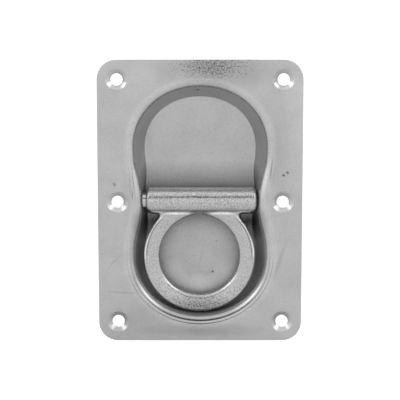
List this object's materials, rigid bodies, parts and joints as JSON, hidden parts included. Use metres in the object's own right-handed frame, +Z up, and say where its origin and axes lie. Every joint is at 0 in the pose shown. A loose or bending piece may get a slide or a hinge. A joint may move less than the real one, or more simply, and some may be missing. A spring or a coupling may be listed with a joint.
{
  "type": "folding floor ring",
  "caption": "Forged ring that folds flat into a pressed, zinc-plated steel floor plate with a two-lobed recess, screwed flush as a tie-down point.",
  "frame": {"origin": "centre of the pan's flat underside, below the centre of the plate", "axes": "+Z up out of the recess, X along the hinge pin, +Y from the ring's lobe towards the empty lobe"},
  "size_m": [0.11, 0.152, 0.018],
  "materials": {
    "plated_sheet": "bright zinc plating on pressed sheet, satin",
    "plated_bar": "bright zinc plating on drawn bar, smooth",
    "plated_forging": "bright zinc plating over a grainy forged skin"
  },
  "bodies": {
    "plate": {"recess_plate": "plated_sheet", "hinge_pin": "plated_bar"},
    "ring": {"lashing_ring": "plated_forging"}
  },
  "joints": [
    {"name": "ring_fold", "type": "hinge", "parent": "plate", "child": "ring", "pos_m": [0, 0, 0.0103], "axis": [-1, 0, 0], "range_deg": [0, 174]}
  ]
}
